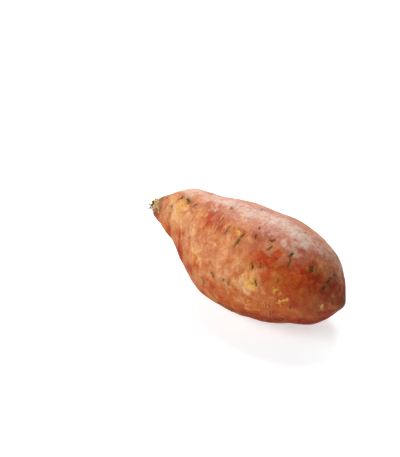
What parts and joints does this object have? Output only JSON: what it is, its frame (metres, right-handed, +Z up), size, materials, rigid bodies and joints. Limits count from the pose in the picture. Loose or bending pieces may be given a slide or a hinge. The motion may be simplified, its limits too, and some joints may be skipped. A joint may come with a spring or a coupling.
{
  "type": "sweet potato",
  "caption": "Plump copper-pink sweet potato with shallow root eyes, a broken stem stub at one end and a blunt tip at the other, lying on a small flat spot.",
  "frame": {"origin": "bottom centre of the root's bounding box, on the surface that it rests on", "axes": "+X from the stem end to the root tip, +Z up, +Y to the side so that the frame is right-handed; the flank with the deepest eyes faces -Y and up"},
  "size_m": [0.1542, 0.0738, 0.0702],
  "materials": {
    "skin": "thin satin root skin, copper orange blushed with rose, ochre patches and brown corky eyes"
  },
  "bodies": {
    "root": {"sweet_potato": "skin"}
  },
  "joints": []
}
